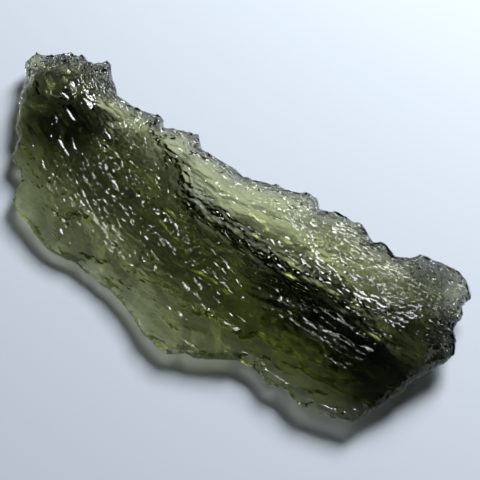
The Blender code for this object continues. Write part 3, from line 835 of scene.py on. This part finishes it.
def surfaces(points, noise):
    """Heights of the upper face and of the underside at the points, and how etched they are."""
    x, y, d = points[:, 0], points[:, 1], points[:, 2]
    rim = rim_height(x, y)
    scarred = in_scar(x, y, d, rim)
    round_off = np.sqrt(1.0 - (1.0 - np.clip(d / RIM_ROUND, 0.0, 1.0)) ** 2)
    top = rim + (upper_face(x, y, d, rim, scarred, noise) - rim) * round_off
    under = rim + (underside(x, y, d, rim, noise) - rim) * round_off
    crumbled = np.clip(crumble(x, y, d), 0.0, 1.0)
    etch = np.where(scarred, SCAR_ETCH, etch_strength(x, y, d) * (1.0 - CRUMBLE_ETCH_LOSS * crumbled))
    return np.maximum(top, under + THINNEST * round_off), np.where(under < FLAT_ENOUGH, 0.0, under), etch


def under_frost(points):
    """Roughness of the underside: frosted where it rests, glossy under the wing."""
    x, y = points[:, 0], points[:, 1]
    resting = ramp(y - along(UNDER_FAR, x, 2), *UNDER_FROST_EDGE)
    return GLOSS + (UNDER_FROST - GLOSS) * resting


def fibre_share(points):
    """How fibrous the skin is: along the crest and over the right part of the wing."""
    x, y = points[:, 0], points[:, 1]
    past_crest = y - along(CREST, x)
    beside_crest = np.clip(FIBRE_EDGE - np.abs(past_crest - FIBRE_MIDDLE) / FIBRE_REACH, 0.0, 1.0)
    right_wing = ramp(past_crest, *FIBRE_WING) * ramp(x, *FIBRE_WING_LEFT)
    return np.maximum(beside_crest * ramp(x, *FIBRE_LEFT), right_wing)


def painted_shade_share(x, y, streaks, band):
    """Share of light that one patch of painted shade keeps; its edge is streaky."""
    middle_x, middle_y, half_length, half_width, turn, share = band
    along_band, across_band = turned(x - middle_x, y - middle_y, turn)
    reach = np.sqrt((along_band / half_length) ** 2 + (across_band / half_width) ** 2)
    depth = np.clip((1.0 + SHADE_EDGE + streaks - reach) / (2.0 * SHADE_EDGE), 0.0, 1.0)
    return share ** (depth * depth * (3.0 - 2.0 * depth))


def shade_thread_share(u, v, noise):
    """Share of light kept between and in the thin dark threads, which are partly painted shade."""
    kept = np.ones_like(u)
    for length, gap, lost in SHADE_THREADS:
        thread = noise.smooth(*place(u / length, v / gap, "threads", gap))
        patch_place = place(u / THREAD_PATCH[0], v / THREAD_PATCH[1], "thread swell", gap)
        dark = np.clip(1.0 - np.abs(thread) / THREAD_WIDTH, 0.0, 1.0)
        kept *= 1.0 - lost * noise.uneven(*patch_place, THREAD_SWELL) * dark
    return kept


def glass_tint_with_painted_shade(points, shade_patches, noise):
    """Colour of the glass at each point, as shares of light kept: painted shade in patches and on the
    crumbs, threads that are partly painted shade, and the yellower wing.
    """
    x, y, d = points[:, 0], points[:, 1], points[:, 2]
    u, v = grain_frame(x, y)
    streaks = np.zeros_like(x)
    for length, width, strength in SHADE_STREAKS:
        streaks += strength * noise.smooth(*place(u / length, v / width, "shade streaks", width))
    kept = np.ones_like(x)
    # Painted shade in patches
    for band in shade_patches:
        kept = np.minimum(kept, painted_shade_share(x, y, streaks, band))
    kept *= shade_thread_share(u, v, noise)
    # Painted shade on the crumbled skin
    crumbled = (np.clip(crumble(x, y, d), 0.0, 1.0) * ramp(y, *CRUMBLE_SHADE_BAND))[:, None]
    on_wing = ramp(y - along(CREST, x), *WING_TINT_START)[:, None] * (1.0 - crumbled)
    wing_kept = 1.0 - on_wing * (1.0 - np.array(WING_TINT))
    crumb_shade_kept = 1.0 - crumbled * (1.0 - np.array(CRUMBLE_PAINTED_SHADE))
    return kept[:, None] * wing_kept * crumb_shade_kept


def sheet(loop, inner):
    """Triangles that fill the outline, whose own points have the first numbers."""
    points = [Vector(p) for p in np.concatenate([loop, inner[:, :2]])]
    count = len(loop)
    edges = [(i, (i + 1) % count) for i in range(count)]
    return delaunay_2d_cdt(points, edges, [], 1, SAME_POINT)[2]


def give(mesh, name, parts):
    """Keep one value for each point of the mesh: first the rim's, the upper face's, the underside's."""
    mesh.attributes.new(name, "FLOAT", "POINT").data.foreach_set("value", np.concatenate(parts))


def shard_mesh():
    """Mesh of the whole shard: the upper face and the underside on one rim."""
    noise = Noise(SEED)
    coarse = outline()
    loop = jagged(coarse, FINE_STEP, FINE_JAG, EDGE_SEED)
    waves = noise.smooth(loop[:, 0] * RIM_WAVE_RATE, loop[:, 1] * RIM_WAVE_RATE)
    rim = rim_height(loop[:, 0], loop[:, 1]) + RIM_WAVE * waves
    top_points = fill(coarse, loop, TOP_STEPS, TOP_SEED)
    under_points = fill(coarse, loop, UNDER_STEPS, UNDER_SEED)
    top_height, _, top_etch = surfaces(top_points, noise)
    _, under_height, under_etch = surfaces(under_points, noise)
    vertices = np.concatenate([
        np.column_stack([loop, rim]),
        np.column_stack([top_points[:, :2], top_height]),
        np.column_stack([under_points[:, :2], under_height])])
    vertices[:, :2] -= outline_middle()
    count = len(loop)
    shift = len(top_points)
    faces = [tuple(face) for face in sheet(loop, top_points)]
    for face in sheet(loop, under_points):
        faces.append(tuple(i if i < count else i + shift for i in reversed(face)))
    mesh = bpy.data.meshes.new(PIECE)
    mesh.from_pydata([tuple(v) for v in vertices * METRES], [], faces)
    give(mesh, "frost", [np.full(count, RIM_FROST), np.full(shift, GLOSS), under_frost(under_points)])
    # Base colour on each face: the glass tint with its painted shade and threads
    tint = np.ones((len(vertices), 4))
    tint[count:count + shift, :3] = glass_tint_with_painted_shade(top_points, TOP_PAINTED_SHADE, noise)
    tint[count + shift:, :3] = glass_tint_with_painted_shade(under_points, UNDER_PAINTED_SHADE, noise)
    mesh.attributes.new("tint_with_painted_shade", "FLOAT_COLOR", "POINT").data.foreach_set("color", tint.ravel())
    give(mesh, "fibres", [np.zeros(count), fibre_share(top_points), np.zeros(len(under_points))])
    give(mesh, "etch", [np.ones(count), top_etch, UNDER_CUPS * under_etch])
    mesh.validate()
    mesh.shade_smooth()
    return mesh


def math_node(nodes, links, operation, first, second):
    """Node for one sum; each side is a socket or a number."""
    node = nodes.new("ShaderNodeMath")
    node.operation = operation
    for socket, value in zip(node.inputs, (first, second)):
        if isinstance(value, (int, float)):
            socket.default_value = value
        else:
            links.new(value, socket)
    return node.outputs["Value"]


def mesh_value(nodes, name):
    """Node that reads one of the values kept on the mesh's points."""
    node = nodes.new("ShaderNodeAttribute")
    node.attribute_name = name
    return node


def grain_place(nodes, links, stretch):
    """Place on the object, turned to the grain and stretched along it."""
    place_node = nodes.new("ShaderNodeTexCoord")
    grain = nodes.new("ShaderNodeMapping")
    grain.inputs["Rotation"].default_value = (0.0, 0.0, GRAIN_ANGLE)
    grain.inputs["Scale"].default_value = stretch
    links.new(place_node.outputs["Object"], grain.inputs["Vector"])
    return grain.outputs["Vector"]


def bump_node(nodes, links, height, share, depth):
    """Bump of a height, scaled by a value kept on the mesh's points."""
    bump = nodes.new("ShaderNodeBump")
    bump.inputs["Strength"].default_value = 1.0
    bump.inputs["Distance"].default_value = depth
    scaled = math_node(nodes, links, "MULTIPLY", height, mesh_value(nodes, share).outputs["Fac"])
    links.new(scaled, bump.inputs["Height"])
    return bump


def finest_skin(nodes, links):
    """Finest etched cups, and grooves where the skin is fibrous; gives the bumped normal."""
    grain = grain_place(nodes, links, GRAIN_SCALE)
    depth = 0.0
    for scale, share in CUP_SIZES:
        cells = nodes.new("ShaderNodeTexVoronoi")
        cells.inputs["Scale"].default_value = scale
        links.new(grain, cells.inputs["Vector"])
        bowl = math_node(nodes, links, "POWER", cells.outputs["Distance"], CUP_ROUNDNESS)
        depth = math_node(nodes, links, "ADD", math_node(nodes, links, "MULTIPLY", bowl, share), depth)
    cup_bump = bump_node(nodes, links, depth, "etch", CUP_DEPTH)
    fibres = nodes.new("ShaderNodeTexNoise")
    fibres.inputs["Scale"].default_value = GROOVE_SCALE
    fibres.inputs["Detail"].default_value = GROOVE_DETAIL
    links.new(grain_place(nodes, links, GROOVE_STRETCH), fibres.inputs["Vector"])
    groove_bump = bump_node(nodes, links, fibres.outputs["Fac"], "fibres", GROOVE_DEPTH)
    links.new(cup_bump.outputs["Normal"], groove_bump.inputs["Normal"])
    return groove_bump.outputs["Normal"]


def glass():
    """Clear bottle green glass with an etched skin."""
    material = bpy.data.materials.new("bottle_green_glass")
    material.use_nodes = True
    nodes, links = material.node_tree.nodes, material.node_tree.links
    shader = nodes["Principled BSDF"]
    # Base colour carries the painted shade kept on the mesh's points
    links.new(mesh_value(nodes, "tint_with_painted_shade").outputs["Color"], shader.inputs["Base Color"])
    links.new(mesh_value(nodes, "frost").outputs["Fac"], shader.inputs["Roughness"])
    shader.inputs["IOR"].default_value = GLASS_IOR
    shader.inputs["Transmission Weight"].default_value = 1.0
    links.new(finest_skin(nodes, links), shader.inputs["Normal"])
    volume = nodes.new("ShaderNodeVolumeAbsorption")
    volume.inputs["Color"].default_value = (*ABSORPTION, 1.0)
    volume.inputs["Density"].default_value = ABSORPTION_DENSITY
    links.new(volume.outputs["Volume"], nodes["Material Output"].inputs["Volume"])
    return material


def floor():
    """Plain pale sheet that the shard lies on."""
    mesh = bpy.data.meshes.new("floor")
    corners = [(-FLOOR_HALF, -FLOOR_HALF, 0), (FLOOR_HALF, -FLOOR_HALF, 0),
               (FLOOR_HALF, FLOOR_HALF, 0), (-FLOOR_HALF, FLOOR_HALF, 0)]
    mesh.from_pydata(corners, [], [(0, 1, 2, 3)])
    item = bpy.data.objects.new("floor", mesh)
    bpy.context.scene.collection.objects.link(item)
    material = bpy.data.materials.new("pale_paper")
    material.use_nodes = True
    shader = material.node_tree.nodes["Principled BSDF"]
    shader.inputs["Base Color"].default_value = (*FLOOR_COLOUR, 1.0)
    shader.inputs["Roughness"].default_value = FLOOR_ROUGHNESS
    mesh.materials.append(material)
    item.location.z = -FLOOR_DROP


def toward(elevation, turn):
    """Direction at an elevation, turned from +Y toward -X; both in degrees."""
    elevation, turn = math.radians(elevation), math.radians(turn)
    return Vector((-math.sin(turn) * math.cos(elevation), math.cos(turn) * math.cos(elevation),
                   math.sin(elevation)))


def camera():
    """Camera at the photograph's viewing angle."""
    back = toward(CAMERA_ELEVATION, CAMERA_AZIMUTH + 180.0)
    distance = CAMERA_SPAN * CAMERA_LENS / CAMERA_SENSOR
    data = bpy.data.cameras.new("camera")
    data.lens = CAMERA_LENS
    data.sensor_width = CAMERA_SENSOR
    data.clip_start = CAMERA_CLIP
    item = bpy.data.objects.new("camera", data)
    bpy.context.scene.collection.objects.link(item)
    aim = Vector(CAMERA_AIM) - Vector((*outline_middle(), 0.0))
    item.location = (aim + back * distance) * METRES
    item.rotation_euler = back.to_track_quat("Z", "Y").to_euler()
    bpy.context.scene.camera = item


def window():
    """Soft window light from behind the shard."""
    direction = toward(LIGHT_ELEVATION, CAMERA_AZIMUTH - LIGHT_TURN)
    data = bpy.data.lights.new("window", "AREA")
    data.shape = "SQUARE"
    data.size = LIGHT_SIZE
    data.energy = LIGHT_POWER
    data.color = LIGHT_COLOUR
    item = bpy.data.objects.new("window", data)
    bpy.context.scene.collection.objects.link(item)
    item.location = direction * LIGHT_DISTANCE
    item.rotation_euler = direction.to_track_quat("Z", "Y").to_euler()


def room():
    """Faint even light from all round."""
    world = bpy.data.worlds.new("room")
    bpy.context.scene.world = world
    world.use_nodes = True
    background = world.node_tree.nodes["Background"]
    background.inputs["Color"].default_value = (*WORLD_COLOUR, 1.0)
    background.inputs["Strength"].default_value = WORLD_STRENGTH


def view():
    """How the picture's tones are shown."""
    settings = bpy.context.scene.view_settings
    settings.view_transform = "Standard"
    settings.look = VIEW_LOOK
    settings.exposure = EXPOSURE


def main():
    """The shard on its stage."""
    mesh = shard_mesh()
    mesh.materials.append(glass())
    shard = bpy.data.objects.new(PIECE, mesh)
    bpy.context.scene.collection.objects.link(shard)
    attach(shard, "root")
    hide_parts("moldavite")
    floor()
    camera()
    window()
    room()
    view()


main()
